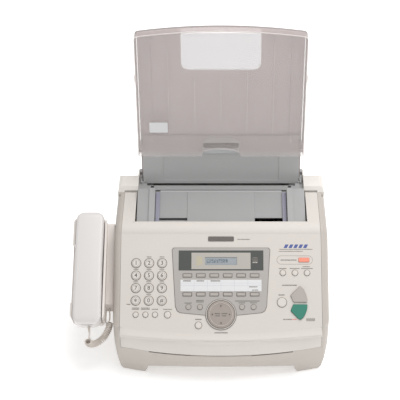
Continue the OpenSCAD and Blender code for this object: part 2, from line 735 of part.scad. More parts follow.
module document_table() {
    color("DarkGray") difference() {
        on_table() union() {
            box([-138, 138], [0, 73], [-3, 0]);
            box([-57, 57], [0, 72], [-1, 1.4]);
            for (s = [-1, 1]) {
                box([s * 137 - 1, s * 137 + 1], [0, 70], [-12, -1]);
                box([s * 140.9 - 3.1, s * 140.9 + 3.1], [4, 62], [-12, -9]);
                box([s * 129.5 - 1.5, s * 129.5 + 1.5], [-14, 10], [-16, -1]);
            }
            box([-132, 132], [60, 63], [-12, -2]);
            translate([0, 26, -9.5]) cylinder(r = 1.5, h = 8);
        }
        on_table() {
            for (s = [-1, 1]) {
                box([s * 89 - 32, s * 89 + 32], [12, 20], [-20, 10]);
                translate([s * 129.5 - 3, -9, -8.5]) rotate([0, 90, 0]) cylinder(r = 3.08, h = 6);
            }
        }
    }
}

module rack(u0, u1, v, teeth_up) {
    box([u0, u1], teeth_up ? [v - 6, v - 1] : [v + 1, v + 6], [-8.5, -4.5]);
    for (u = [3.14159 * ceil((u0 + 2) / 3.14159 - 0.5) + 1.5708:3.14159:u1 - 1])
        translate([u, v, -8.5]) linear_extrude(4)
            polygon(teeth_up ? [[-0.55, -1.2], [0.55, -1.2], [0.3, 0.5], [-0.3, 0.5]]
                : [[-0.55, 1.2], [-0.3, -0.5], [0.3, -0.5], [0.55, 1.2]]);
}

module guide_body(s) {
    box([s * 131.4 - 10.4, s * 131.4 + 10.4], [2, 72], [0.5, 11]);
    box([s * (guide_x + 5) - 5, s * (guide_x + 5) + 5], [2, 72], [0.5, 14]);
    box([s * 116 - 3, s * 116 + 3], [13.5, 18.5], [-8.5, 1]);
}

module guide_left() {
    color("DarkGray") on_table() {
        guide_body(-1);
        rack(-119, 14, 20, true);
    }
}

module guide_right() {
    color("DarkGray") on_table() {
        guide_body(1);
        rack(-14, 119, 32, false);
        box([113, 119], [13.5, 38], [-8.5, -4.5]);
    }
}

module guide_pinion() {
    color("Ivory") on_table() translate([0, 26, -8.5]) difference() {
        union() {
            cylinder(r = 4.7, h = 4);
            linear_extrude(4) for (k = [0:11]) rotate(k * 30)
                polygon([[4.4, -0.75], [6.5, -0.34], [6.5, 0.34], [4.4, 0.75]]);
        }
        translate([0, 0, -1]) cylinder(r = 1.58, h = 6);
    }
}

module feed_roller() {
    color("Silver") on_table() translate([-132, -9, -8.5]) rotate([0, 90, 0]) cylinder(r = 3, h = 264);
    color([0.3, 0.3, 0.3]) on_table() translate([-22, -9, -8.5]) rotate([0, 90, 0]) cylinder(r = 8, h = 44);
}

module image_sensor() {
    color([0.15, 0.15, 0.16]) {
        box([-112, 112], [-34, -20], [161, 173]);
        for (s = [-1, 1]) box([s * 119.5 - 8.5, s * 119.5 + 8.5], [-32, -3], [166, 171]);
    }
    color("LightBlue") box([-106, 106], [-33, -21], [173, 174]);
}

module panel_board() {
    color("SeaGreen") on_panel() difference() {
        box([-157, 157], [16, 158], [-14, -12.4]);
        for (x = [-30, 30]) translate([x, 70, -16]) cylinder(r = 2, h = 5);
    }
}

module display_bezel() {
    color("Silver") on_panel() difference() {
        translate([0, 0, -3]) linear_extrude(3.8) bezel_shape();
        key_holes();
        box([-69.6, 69.6], [114.6, 147.9], [-1.2, 3]);
        box([-48.8, 48.8], [116.6, 144.4], [-10, 3]);
    }
    color("White") on_panel() box([-66.4, 66.4], [80.2, 99.4], [0.8, 1.1]);
}

module display_window() {
    color([0.3, 0.32, 0.31]) on_panel() difference() {
        box([-69.6, 69.6], [114.6, 147.9], [-1.2, 0.7]);
        box([-48.6, 48.6], [116.8, 144.2], [-10, 3]);
    }
}

module lcd_module() {
    color("Gainsboro") on_panel() {
        difference() {
            box([-48.6, 48.6], [116.8, 144.2], [-3, 0.9]);
            box([-26.2, 26.2], [123.7, 136.7], [-0.4, 3]);
        }
        box([-44, 44], [119, 142], [-8, -3]);
    }
}

// Keys

module round_key(r, u, v, dish = 0) on_panel(u, v, 0) difference() {
    union() {
        translate([0, 0, -4.8]) cylinder(r = r + key_flange, h = 1.4);
        translate([0, 0, -3.6]) cylinder(r = r, h = 3.6 + key_top - 1.3);
        translate([0, 0, key_top - 1.3]) cylinder(r1 = r, r2 = r - 1.5, h = 1.3);
        translate([0, 0, -10.5]) cylinder(r = min(2, r / 2), h = 6);
    }
    if (dish > 0) translate([0, 0, dish * 8 + key_top - dish * 0.32]) sphere(r = dish * 8, $fn = 48);
}

module shaped_key(w) on_panel() {
    translate([0, 0, -3.6]) linear_extrude(3.6 + w) children(0);
    translate([0, 0, -4.8]) linear_extrude(1.4) for (d = [-0.8, 0.8]) {
        translate([d, 0]) children(0);
        translate([0, d]) children(0);
    }
    translate([0, 0, -10.5]) linear_extrude(6) children(1);
}

module start_key() color("SeaGreen") shaped_key(2.2) {
    start_shape();
    translate([128, 48]) circle(r = 3);
}

module copy_key() color("DarkGray") shaped_key(2.2) {
    copy_shape();
    translate([130, 73]) circle(r = 3);
}

module stop_key() color("WhiteSmoke") round_key(7.6, 99.3, 62);

module navigator_key() color("Silver") {
    round_key(nav_r, 0, 42.5);
    on_panel(0, 42.5, 0) for (a = [0:90:270]) rotate(a) translate([14, 0, 1.8]) rotate(180)
        cylinder(r = 2.2, h = 0.9, $fn = 3);
}

module toner_save_key() color("Salmon") shaped_key(1.4) {
    translate([136.2, 132.2]) round_rect(17.3, 6.7, 1.4);
    translate([136.2, 132.2]) circle(r = 2);
}

module one_touch_keys() color("Silver") for (p = touch_at) on_panel(p[0], p[1], 0) {
    box([-6.7, 6.7], [-2.3, 2.3], [-3.6, 2]);
    box([-7.6, 7.6], [-3.2, 3.2], [-4.8, -3.4]);
    translate([0, 0, -10.5]) cylinder(r = 1.5, h = 6);
}

module function_keys() color("WhiteSmoke") for (p = small_keys) round_key(p[2], p[0], p[1]);

module dial_key(n) color("WhiteSmoke") round_key(dial_r, dial_at[n][0], dial_at[n][1]);

// Selection: one line per node

place() lower_casing();
place() rear_housing();
place() rubber_feet();
place() side_frames();
place() main_board();
place() power_supply();
place() laser_scanner();
place() toner_cartridge();
place() opc_drum();
place() transfer_roller();
place() fuser_frame();
place() heat_roller();
place() pressure_roller();
place() pickup_roller();
place() exit_rollers();
place() main_motor();
place() motor_pinion();
place() cooling_fan();
place() fan_rotor();
place() speaker();
place() rear_sockets();
place() casing_screws();
place() handset_cradle();
place() hook_switch();
place() handset();
place() handset_cord();
place() tray_base();
place() paper_tray();
place() tension_plate();
place() tray_cover();
place() top_cover();
place() document_table();
place() guide_left();
place() guide_right();
place() guide_pinion();
place() feed_roller();
place() image_sensor();
place() panel_board();
place() display_bezel();
place() display_window();
place() lcd_module();
place() start_key();
place() copy_key();
place() stop_key();
place() navigator_key();
place() toner_save_key();
place() one_touch_keys();
place() function_keys();
place() dial_key(0);  // dial_key_1
place() dial_key(1);  // dial_key_2
place() dial_key(2);  // dial_key_3
place() dial_key(3);  // dial_key_4
place() dial_key(4);  // dial_key_5
place() dial_key(5);  // dial_key_6
place() dial_key(6);  // dial_key_7
place() dial_key(7);  // dial_key_8
place() dial_key(8);  // dial_key_9
place() dial_key(9);  // dial_key_star
place() dial_key(10);  // dial_key_0
place() dial_key(11);  // dial_key_hash
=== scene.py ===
"""Looks of the fax machine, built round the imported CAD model. Lengths in millimetres unless noted."""
import math
import random
import bmesh
import bpy
from mathutils import Matrix, Vector


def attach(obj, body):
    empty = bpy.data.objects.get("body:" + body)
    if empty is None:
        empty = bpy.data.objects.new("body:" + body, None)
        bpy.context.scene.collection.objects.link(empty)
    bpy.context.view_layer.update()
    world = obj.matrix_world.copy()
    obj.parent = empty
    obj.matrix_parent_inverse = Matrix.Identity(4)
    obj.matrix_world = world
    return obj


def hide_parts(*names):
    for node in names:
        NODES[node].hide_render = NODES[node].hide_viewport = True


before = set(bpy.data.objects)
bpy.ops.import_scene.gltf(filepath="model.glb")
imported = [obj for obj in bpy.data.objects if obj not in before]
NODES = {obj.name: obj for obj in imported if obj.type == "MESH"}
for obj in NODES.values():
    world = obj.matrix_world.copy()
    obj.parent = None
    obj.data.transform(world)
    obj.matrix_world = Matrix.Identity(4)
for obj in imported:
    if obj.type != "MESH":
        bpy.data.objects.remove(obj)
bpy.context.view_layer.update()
scene = bpy.context.scene
MM = 0.001


# ------------------------------------------------------------------ frames
def make_frame(origin, tilt):
    """Matrix from millimetres in a tilted plane to the row frame in metres."""
    body_middle = Vector((34.5, 10.0, 0.0))
    return (Matrix.Scale(MM, 4) @ Matrix.Translation(body_middle + Vector(origin))
            @ Matrix.Rotation(math.radians(tilt), 4, "X"))


BODY = make_frame((0, 0, 0), 0)
PANEL = make_frame((0, -164, 89), 40)            # sloped control panel
TABLE = make_frame((0, 5, 186), 20)              # document table
REST = make_frame((-218, -150, 106), 31.5)       # handset on its cradle
COVER = make_frame((0, 102, 264.5), 84)          # front of the tray cover
TENSION = make_frame((0, 101, 208), 78)          # front of the tension plate

# ------------------------------------------------------------------ camera
DISTANCE = 1900                  # from the camera to the point it aims at
ELEVATION = math.radians(38)
AIM = (0, 0, 250)
SENSOR = 36                      # width of the sensor
FOCAL = 103.914                  # focal length for that sensor
SHIFT = -0.0525                  # sideways shift of the lens, as a part of the sensor's width
target = BODY @ Vector(AIM)
cam_data = bpy.data.cameras.new("camera")
cam_data.sensor_width = SENSOR
cam_data.lens = FOCAL
cam_data.shift_x = SHIFT
cam_data.clip_end = 30
camera = bpy.data.objects.new("camera", cam_data)
camera.location = target + Vector((0, -math.cos(ELEVATION), math.sin(ELEVATION))) * DISTANCE * MM
camera.rotation_euler = (math.radians(90) - ELEVATION, 0, 0)
scene.collection.objects.link(camera)
scene.camera = camera


# ------------------------------------------------------------------ materials
DRIFT_SCALE = 9                  # cells per metre of the slow change of colour
HAZE_SCALE = 14                  # the same for smoked plastic
GLOSS_SCALE = 60                 # cells per metre of the change of gloss
GRAIN_DEPTH = 0.00008            # metres


def srgb(r, g, b):
    """8-bit display colour to linear RGBA."""
    def lin(c):
        c /= 255
        return c / 12.92 if c <= 0.04045 else ((c + 0.055) / 1.055) ** 2.4
    return (lin(r), lin(g), lin(b), 1.0)


def scaled(color, k):
    """A linear colour made k times as bright."""
    return (color[0] * k, color[1] * k, color[2] * k, 1.0)


def neutral(k):
    """Linear grey of brightness k."""
    return (k, k, k, 1.0)


def noise(nt, where, scale, detail=2):
    """Noise value over a surface, with scale in cells per metre."""
    texture = nt.nodes.new("ShaderNodeTexNoise")
    texture.inputs["Scale"].default_value = scale
    texture.inputs["Detail"].default_value = detail
    nt.links.new(where, texture.inputs["Vector"])
    return texture.outputs["Fac"]


def ramp(nt, value, low, low_color, high, high_color):
    """Colour that passes from one to the other while the value goes from low to high."""
    node = nt.nodes.new("ShaderNodeValToRGB")
    stops = node.color_ramp.elements
    stops[0].position = low
    stops[0].color = low_color
    stops[1].position = high
    stops[1].color = high_color
    nt.links.new(value, node.inputs["Fac"])
    return node.outputs["Color"]


def multiplied(nt, color, factor):
    """Product of two colours."""
    mix = nt.nodes.new("ShaderNodeMix")
    mix.data_type = "RGBA"
    mix.blend_type = "MULTIPLY"
    mix.inputs["Factor"].default_value = 1
    nt.links.new(color, mix.inputs["A"])
    nt.links.new(factor, mix.inputs["B"])
    return mix.outputs["Result"]


def moulded(name, color, rough, grain, bump, tint, wear, metallic=0.0, specks=0.0, coat=0.0,
            grain_stretch=None):
    """Moulded plastic, rubber or metal: slow colour drift, fine grain, uneven gloss and worn edges."""
    mat = bpy.data.materials.new(name)
    mat.use_nodes = True
    nt = mat.node_tree
    shader = nt.nodes["Principled BSDF"]
    shader.inputs["Metallic"].default_value = metallic
    shader.inputs["Coat Weight"].default_value = coat
    place = nt.nodes.new("ShaderNodeTexCoord").outputs["Object"]
    along = place
    if grain_stretch:
        mapping = nt.nodes.new("ShaderNodeMapping")
        mapping.inputs["Scale"].default_value = grain_stretch
        nt.links.new(place, mapping.inputs["Vector"])
        along = mapping.outputs["Vector"]
    deeper = (color[0] * (1 - tint), color[1] * (1 - tint), color[2] * (1 - 1.5 * tint), 1)
    painted = ramp(nt, noise(nt, place, DRIFT_SCALE, 3), 0.3, deeper, 0.7, color)
    if specks:
        spots = ramp(nt, noise(nt, along, grain * 0.6, 1), 0.30, neutral(1 - specks), 0.52, neutral(1))
        painted = multiplied(nt, painted, spots)
    if wear:
        edges = nt.nodes.new("ShaderNodeNewGeometry").outputs["Pointiness"]
        painted = multiplied(nt, painted, ramp(nt, edges, 0.52, neutral(1), 0.62, neutral(1 + wear)))
    nt.links.new(painted, shader.inputs["Base Color"])
    gloss = nt.nodes.new("ShaderNodeMapRange")
    gloss.inputs["To Min"].default_value = max(rough - 0.05, 0.02)
    gloss.inputs["To Max"].default_value = min(rough + 0.07, 1)
    nt.links.new(noise(nt, along, GLOSS_SCALE), gloss.inputs["Value"])
    nt.links.new(gloss.outputs["Result"], shader.inputs["Roughness"])
    if bump:
        relief = nt.nodes.new("ShaderNodeBump")
        relief.inputs["Strength"].default_value = bump
        relief.inputs["Distance"].default_value = GRAIN_DEPTH
        nt.links.new(noise(nt, along, grain), relief.inputs["Height"])
        nt.links.new(relief.outputs["Normal"], shader.inputs["Normal"])
    return mat


def smoked(name, color, tint, solid, rough=0.12, drift=0.04):
    """Smoked clear plastic: part of the light passes, tinted, and the rest is a milky film."""
    mat = bpy.data.materials.new(name)
    mat.use_nodes = True
    nt = mat.node_tree
    film = nt.nodes["Principled BSDF"]
    film.inputs["Roughness"].default_value = rough
    film.inputs["Specular IOR Level"].default_value = 0.4
    place = nt.nodes.new("ShaderNodeTexCoord").outputs["Object"]
    haze = ramp(nt, noise(nt, place, HAZE_SCALE, 4), 0, scaled(color, 1 - drift), 1, color)
    nt.links.new(haze, film.inputs["Base Color"])
    clear = nt.nodes.new("ShaderNodeBsdfTransparent")
    clear.inputs["Color"].default_value = tint
    mix = nt.nodes.new("ShaderNodeMixShader")
    mix.inputs["Fac"].default_value = solid
    nt.links.new(clear.outputs["BSDF"], mix.inputs[1])
    nt.links.new(film.outputs["BSDF"], mix.inputs[2])
    nt.links.new(mix.outputs["Shader"], nt.nodes["Material Output"].inputs["Surface"])
    return mat


# moulded: name, colour, roughness, grain in cells per metre, bump, colour drift, edge wear
# smoked: name, colour of the film, tint of what passes, share of the film, roughness, colour drift
M = {
    "casing": moulded("casing_plastic", srgb(214, 208, 202), 0.45, 1300, 0.18, 0.02, 0.0, specks=0.03),
    # darker copy of the casing colour for the lower casing: painted shade of its low front
    "base": moulded("base_painted_shade", srgb(190, 183, 176), 0.5, 1300, 0.2, 0.02, 0.0, specks=0.04),
    "handset": moulded("handset_plastic", srgb(219, 215, 213), 0.32, 1500, 0.06, 0.015, 0.04),
    "cradle": moulded("cradle_plastic", srgb(226, 219, 214), 0.5, 1300, 0.15, 0.02, 0.06),
    "grey": moulded("grey_plastic", srgb(163, 163, 163), 0.48, 1300, 0.18, 0.02, 0.06, specks=0.03),
    "tension": moulded("tension_plastic", srgb(190, 190, 190), 0.5, 1300, 0.15, 0.02, 0.05, specks=0.03),
    "lavender": moulded("guide_inner_plastic", srgb(146, 145, 162), 0.45, 1300, 0.12, 0.02, 0.05),
    "bezel": moulded("bezel_plastic", srgb(179, 174, 170), 0.42, 1500, 0.14, 0.03, 0.0, specks=0.06),
    "window": moulded("display_window_plastic", srgb(78, 80, 78), 0.4, 900, 0.0, 0.03, 0.0),
    "lcd_frame": moulded("lcd_frame_plastic", srgb(182, 177, 170), 0.35, 1300, 0.08, 0.02, 0.04),
    "key": moulded("key_plastic", srgb(214, 208, 202), 0.36, 1500, 0.08, 0.015, 0.08),
    "grey_key": moulded("grey_key_plastic", srgb(172, 165, 160), 0.38, 1500, 0.1, 0.02, 0.08),
    "touch_key": moulded("touch_key_plastic", srgb(176, 170, 164), 0.38, 1500, 0.1, 0.02, 0.08),
    "nav": moulded("navigator_plastic", srgb(164, 154, 147), 0.34, 1500, 0.12, 0.04, 0.1, specks=0.06),
    "green": moulded("green_key_plastic", srgb(60, 130, 112), 0.36, 1500, 0.1, 0.03, 0.08),
    "orange": moulded("orange_key_plastic", srgb(243, 150, 128), 0.36, 1500, 0.08, 0.02, 0.08),
    "cord": moulded("cord_plastic", srgb(206, 198, 190), 0.4, 2000, 0.06, 0.03, 0.0),
    "rubber": moulded("foot_rubber", srgb(60, 58, 56), 0.8, 1800, 0.4, 0.1, 0.1),
    "roller": moulded("roller_rubber", srgb(52, 52, 53), 0.7, 1800, 0.3, 0.1, 0.05),
    "heater": moulded("heat_sleeve", srgb(150, 70, 55), 0.35, 1500, 0.05, 0.05, 0.05),
    "drum": moulded("drum_coating", srgb(50, 110, 150), 0.12, 900, 0.0, 0.05, 0.0, coat=0.6),
    "black": moulded("black_plastic", srgb(42, 42, 43), 0.45, 1500, 0.2, 0.08, 0.15),
    # painted shade for gaps and holes
    "dark": moulded("painted_gap_shade", srgb(30, 28, 27), 0.8, 1500, 0.1, 0.05, 0.0),
    "steel": moulded("frame_steel", srgb(176, 178, 180), 0.32, 500, 0.1, 0.05, 0.05, metallic=1.0,
                     grain_stretch=(1, 1, 12)),
    "screw": moulded("screw_steel", srgb(150, 150, 152), 0.3, 900, 0.1, 0.05, 0.1, metallic=1.0),
    "board": moulded("board_green", srgb(40, 96, 62), 0.4, 1500, 0.2, 0.15, 0.1),
    "supply": moulded("board_brown", srgb(150, 112, 60), 0.5, 1500, 0.2, 0.15, 0.1),
    "gear": moulded("gear_plastic", srgb(222, 216, 198), 0.4, 1500, 0.1, 0.03, 0.08),
    "ink": moulded("caption_ink", srgb(116, 110, 105), 0.6, 1500, 0.0, 0.05, 0.0),
    # dark ink for digits and words, also the painted shade round the navigator
    "dark_ink_and_shade": moulded("digit_ink_and_groove_shade", srgb(104, 100, 97), 0.6, 1500, 0.0, 0.05, 0.0),
    # ink of the key rings and small words, also the painted shade round the bezel
    "ring": moulded("ring_ink_and_bezel_shade", srgb(134, 127, 122), 0.6, 1500, 0.0, 0.05, 0.0),
    "blue": moulded("blue_ink", srgb(84, 98, 158), 0.5, 1500, 0.0, 0.05, 0.0),
    "red": moulded("red_ink", srgb(226, 120, 112), 0.5, 1500, 0.0, 0.05, 0.0),
    "badge": moulded("badge_metal", srgb(120, 115, 112), 0.3, 1500, 0.05, 0.1, 0.1, metallic=0.5),
    "card": moulded("label_card", srgb(222, 222, 223), 0.55, 1500, 0.1, 0.01, 0.0),
    "card_line": moulded("label_line", srgb(190, 190, 205), 0.6, 1500, 0.0, 0.03, 0.0),
    "lcd": moulded("lcd_glass", srgb(160, 166, 172), 0.14, 900, 0.0, 0.05, 0.0, coat=0.5),
    "lcd_ink": moulded("lcd_segments", srgb(80, 96, 112), 0.4, 900, 0.0, 0.05, 0.0),
    "chrome": moulded("ring_chrome", srgb(205, 200, 194), 0.18, 900, 0.0, 0.05, 0.05, metallic=0.8),
    "rim": moulded("navigator_rim_plastic", srgb(196, 190, 184), 0.3, 1500, 0.08, 0.04, 0.25),
    # darker, pinker copy of the tension plate's colour: painted shade under the tray cover
    "upper": moulded("tension_upper_shade_paint", srgb(188, 180, 178), 0.4, 1300, 0.1, 0.03, 0.0),
    # lighter copy of the casing colour for the rear housing: painted light on its upper faces
    "shell": moulded("rear_shell_painted_light", srgb(230, 225, 219), 0.45, 1300, 0.18, 0.02, 0.0, specks=0.03),
    "film": smoked("cover_wall_film", srgb(206, 192, 188), (0.9, 0.89, 0.89, 1), 0.45, 0.3),
    "edge_grey": moulded("cover_back_edge_plastic", srgb(176, 172, 171), 0.3, 1500, 0.0, 0.02, 0.0),
    "grip": moulded("grip_plastic", srgb(190, 192, 193), 0.45, 1300, 0.12, 0.02, 0.05),
    # painted highlight along the tray cover's front edge
    "edge_highlight": moulded("cover_edge_highlight_paint", srgb(226, 219, 216), 0.25, 1500, 0.0, 0.02, 0.0),
    "rib_light": moulded("tray_rib_plastic", srgb(226, 220, 218), 0.4, 1500, 0.0, 0.02, 0.0),
    # darker colour for the painted shade along the tray's folds
    "crease": moulded("tray_crease_shade", srgb(150, 142, 140), 0.5, 1500, 0.0, 0.02, 0.0),
    "catch": moulded("cover_catch_plastic", srgb(216, 200, 194), 0.4, 1500, 0.0, 0.03, 0.05),
    "amber": moulded("amber_tint", srgb(190, 182, 160), 0.4, 1500, 0.0, 0.04, 0.0),
    "smoked": smoked("smoked_cover", srgb(232, 224, 222), (0.97, 0.965, 0.965, 1), 0.26),
    "pane": smoked("window_pane", srgb(214, 217, 221), (0.91, 0.92, 0.93, 1), 0.22, 0.15, 0.02),
    "clear": smoked("rear_tray_plastic", srgb(209, 199, 197), (0.9, 0.9, 0.9, 1), 0.86, 0.3),
}

# material of each carried-over CAD node
LOOKS = {
    "casing": ["top_cover"],
    "shell": ["rear_housing"],
    "base": ["lower_casing"],
    "handset": ["handset"],
    "cradle": ["handset_cradle"],
    "grey": ["document_table", "guide_left", "guide_right", "tray_base"],
    "tension": ["tension_plate"],
    "smoked": ["tray_cover"],
    "clear": ["paper_tray"],
    "bezel": ["display_bezel"],
    "window": ["display_window"],
    "lcd_frame": ["lcd_module"],
    "green": ["start_key"],
    "grey_key": ["copy_key"],
    "touch_key": ["one_touch_keys"],
    "nav": ["navigator_key"],
    "orange": ["toner_save_key"],
    "key": ["stop_key", "function_keys"] + [n for n in NODES if n.startswith("dial_key")],
    "cord": ["handset_cord"],
    "rubber": ["rubber_feet"],
    "heater": ["heat_roller"],
    "drum": ["opc_drum"],
    "roller": ["transfer_roller", "pressure_roller", "pickup_roller", "exit_rollers", "feed_roller"],
    "black": ["laser_scanner", "toner_cartridge", "fuser_frame", "cooling_fan", "fan_rotor", "speaker",
              "rear_sockets", "image_sensor"],
    "steel": ["side_frames", "main_motor"],
    "screw": ["casing_screws"],
    "board": ["main_board", "panel_board"],
    "supply": ["power_supply"],
    "gear": ["motor_pinion", "guide_pinion", "hook_switch"],
}

# radius of the rounded edges of each carried-over CAD node that gets them
EDGE = {
    "lower_casing": 0.9, "rear_housing": 1.2, "top_cover": 0.7, "handset_cradle": 1.6, "tray_cover": 0.9,
    "document_table": 0.5, "guide_left": 0.8, "guide_right": 0.8, "tray_base": 0.6, "tension_plate": 0.5,
    "display_bezel": 0.45, "one_touch_keys": 0.4, "start_key": 0.6, "copy_key": 0.6, "toner_save_key": 0.4,
    "paper_tray": 0.4, "lcd_module": 0.3, "display_window": 0.15,
}


WELD_GAP = 0.00001         # metres
FLAT_ANGLE = 0.4           # degrees, between faces that count as one flat face
EDGE_ANGLE = 32            # degrees, from which an edge is rounded


def soften(obj, width, weld=False):
    """Rounded edges and smooth shading. CAD nodes are welded first, and their flat faces are joined."""
    if weld:
        merge = obj.modifiers.new("weld", "WELD")
        merge.merge_threshold = WELD_GAP
        flat = obj.modifiers.new("flat_faces", "DECIMATE")
        flat.decimate_type = "DISSOLVE"
        flat.angle_limit = math.radians(FLAT_ANGLE)
    if width:
        bevel = obj.modifiers.new("bevel", "BEVEL")
        bevel.width = width * MM
        bevel.segments = 3
        bevel.limit_method = "ANGLE"
        bevel.angle_limit = math.radians(EDGE_ANGLE)
        bevel.use_clamp_overlap = True
        bevel.harden_normals = not weld
    if weld:
        weigh = obj.modifiers.new("weighted_normal", "WEIGHTED_NORMAL")
        weigh.weight = 100
        weigh.keep_sharp = True


for look, names in LOOKS.items():
    for name in names:
        obj = NODES[name]
        for material_slot in obj.material_slots:
            material_slot.material = M[look]
        if not obj.material_slots:
            obj.data.materials.append(M[look])
        if "custom_normal" in obj.data.attributes:
            obj.data.attributes.remove(obj.data.attributes["custom_normal"])
        obj.data.shade_smooth()
        soften(obj, EDGE.get(name, 0), weld=True)
        if name not in EDGE:
            obj.data.set_sharp_from_angle(angle=math.radians(30))


# ------------------------------------------------------------------ mesh helpers
def add(name, verts, faces, at, look, body, slot, bevel=0.0, sharp=30):
    """A mesh piece from points in one of the frames. Edges over sharp degrees stay sharp, or are bevelled."""
    bm = bmesh.new()
    points = [bm.verts.new(at @ Vector(v)) for v in verts]
    for f in faces:
        bm.faces.new([points[i] for i in f])
    bmesh.ops.recalc_face_normals(bm, faces=bm.faces)
    mesh = bpy.data.meshes.new(name)
    bm.to_mesh(mesh)
    bm.free()
    obj = bpy.data.objects.new(name, mesh)
    scene.collection.objects.link(obj)
    mesh.materials.append(M[look])
    mesh.shade_smooth()
    if not bevel:
        mesh.set_sharp_from_angle(angle=math.radians(sharp))
    soften(obj, bevel)
    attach(obj, body)
    return obj


def prism_parts(outline, w0, w1, start=0):
    """Vertices and faces of an extruded outline."""
    n = len(outline)
    verts = [(x, y, w0) for x, y in outline] + [(x, y, w1) for x, y in outline]
    faces = [[start + i for i in reversed(range(n))], [start + n + i for i in range(n)]]
    faces += [[start + i, start + (i + 1) % n, start + n + (i + 1) % n, start + n + i] for i in range(n)]
    return verts, faces


def prisms(name, outlines, at, look, body, slot, bevel=0.0):
    """Several extruded outlines, (points, low, high), as one piece."""
    verts, faces = [], []
    for outline, w0, w1 in outlines:
        v, f = prism_parts(outline, w0, w1, len(verts))
        verts += v
        faces += f
    return add(name, verts, faces, at, look, body, slot, bevel)


def bands(name, loops, at, look, body, slot, bevel=0.0):
    """Closed bands between pairs of outlines of equal length, (outer, inner, low, high)."""
    verts, faces = [], []
    for outer, inner, w0, w1 in loops:
        n, s = len(outer), len(verts)
        verts += [(x, y, w0) for x, y in outer] + [(x, y, w1) for x, y in outer]
        verts += [(x, y, w1) for x, y in inner] + [(x, y, w0) for x, y in inner]
        for ring in range(4):
            a, b = s + ring * n, s + ((ring + 1) % 4) * n
            faces += [[a + i, a + (i + 1) % n, b + (i + 1) % n, b + i] for i in range(n)]
    return add(name, verts, faces, at, look, body, slot, bevel)


def rect(x0, x1, y0, y1):
    """Outline of a rectangle."""
    return [(x0, y0), (x1, y0), (x1, y1), (x0, y1)]


def around(u, v, half_u, half_v):
    """Outline of a rectangle round a point."""
    return rect(u - half_u, u + half_u, v - half_v, v + half_v)


def rounded(x0, x1, y0, y1, r, steps=6):
    """Outline of a rectangle with round corners."""
    points = []
    corners = ((x1 - r, y1 - r, 0), (x0 + r, y1 - r, 90), (x0 + r, y0 + r, 180), (x1 - r, y0 + r, 270))
    for cx, cy, a0 in corners:
        for k in range(steps + 1):
            a = math.radians(a0 + 90 * k / steps)
            points.append((cx + r * math.cos(a), cy + r * math.sin(a)))
    return points


def arc(r, cx=0, cy=0, steps=48):
    """Outline of a circle."""
    return [(cx + r * math.cos(2 * math.pi * k / steps), cy + r * math.sin(2 * math.pi * k / steps))
            for k in range(steps)]


def both_sides(left):
    """Outline from its left half, taken from the top down, and the mirror image of that half."""
    return left + [(-u, v) for u, v in reversed(left)]


def skin(sections, count):
    """Faces round a row of sections of count points each, with the two ends closed."""
    faces = []
    for s in range(sections - 1):
        a, b = s * count, (s + 1) * count
        faces += [[a + i, a + (i + 1) % count, b + (i + 1) % count, b + i] for i in range(count)]
    last = (sections - 1) * count
    return faces + [list(range(count)), [last + i for i in reversed(range(count))]]


def lettering(name, text, size, at, u, v, w, look, body):
    """A raised printed character of the built-in font, turned to a mesh."""
    curve = bpy.data.curves.new(name + "_curve", "FONT")
    curve.body = text
    curve.size = size
    curve.extrude = 0.03
    curve.align_x = "CENTER"
    curve.align_y = "CENTER"
    curve.resolution_u = 4
    curve.offset = 0.12        # bolder strokes
    holder = bpy.data.objects.new(name + "_curve", curve)
    scene.collection.objects.link(holder)
    bpy.context.view_layer.update()
    mesh = bpy.data.meshes.new_from_object(holder)
    bpy.data.objects.remove(holder)
    mesh.name = name
    mesh.transform(at @ Matrix.Translation((u, v, w)))
    mesh.materials.clear()
    mesh.materials.append(M[look])
    obj = bpy.data.objects.new(name, mesh)
    scene.collection.objects.link(obj)
    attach(obj, body)


# ------------------------------------------------------------------ control panel
# heights are over the panel's surface
KEY_TOP = 2.0            # round keys
BEZEL_TOP = 0.8          # grey bezel
CARD_TOP = 1.2           # label strip
LCD_TOP = -0.2           # display's glass, under its window
PRINT = 0.05             # half thickness of printed marks
ASCENT = 1.45            # height of a printed word against its nominal letter height
LETTERS = (0.75, 1.35)   # shortest and longest dash
GAP = 0.28               # between two dashes
DIAL_R = 7.2             # radius of the dial keys
DIAL_MIDDLE = -118       # middle column of the dial keys
DIAL_TOP = 126.8         # top row of the dial keys
DIAL_PITCH = (21.3, 20.6)
NAV = (0, 42.5)          # middle of the navigator
NAV_STEPS = 72
rng = random.Random(41)


def caption(u0, u1, v, high=1.15):
    """A row of short dashes that stands for a printed word."""
    marks, u = [], u0
    high *= ASCENT
    while u < u1 - 0.5:
        step = min(rng.uniform(*LETTERS), u1 - u)
        low = v - high / 2 * rng.uniform(0.75, 1)
        marks.append(rect(u, u + step - GAP, low, v + high / 2 * rng.uniform(0.75, 1)))
        u += step
    return marks


def captions(*rows):
    """Several captions, each (left end, right end, place up the panel, letter height)."""
    marks = []
    for row in rows:
        marks += caption(*row)
    return marks


def printed(name, outlines, look, body, at=PANEL, w=0.0, slot="white_casing"):
    """Flat printed marks on a surface at height w."""
    return prisms(name, [(o, w - PRINT, w + PRINT) for o in outlines], at, look, body, slot)


def ring_at(u, v, outer, inner, w=0.0, steps=40):
    """Printed ring round a point, for bands."""
    return (arc(outer, u, v, steps), arc(inner, u, v, steps), w - PRINT, w + PRINT)


dial = [(n, (col - 1) * DIAL_PITCH[0] + DIAL_MIDDLE, DIAL_TOP - row * DIAL_PITCH[1])
        for row, signs in enumerate(("123", "456", "789", "*0#")) for col, n in enumerate(signs)]
SIGN_NAMES = {"*": "star", "#": "hash"}
for n, u, v in dial:
    word = SIGN_NAMES.get(n, n)
    node = "dial_key_" + word
    letter, drop = (13, 2.2) if n == "*" else (9.4, 0)
    lettering("digit_" + word, n, letter, PANEL, u, v - drop, KEY_TOP + 0.01, "dark_ink_and_shade", node)
    bands("key_line_" + word, [ring_at(u, v, 5.62, 5.22, KEY_TOP)], PANEL, "ring", node, "white_key")

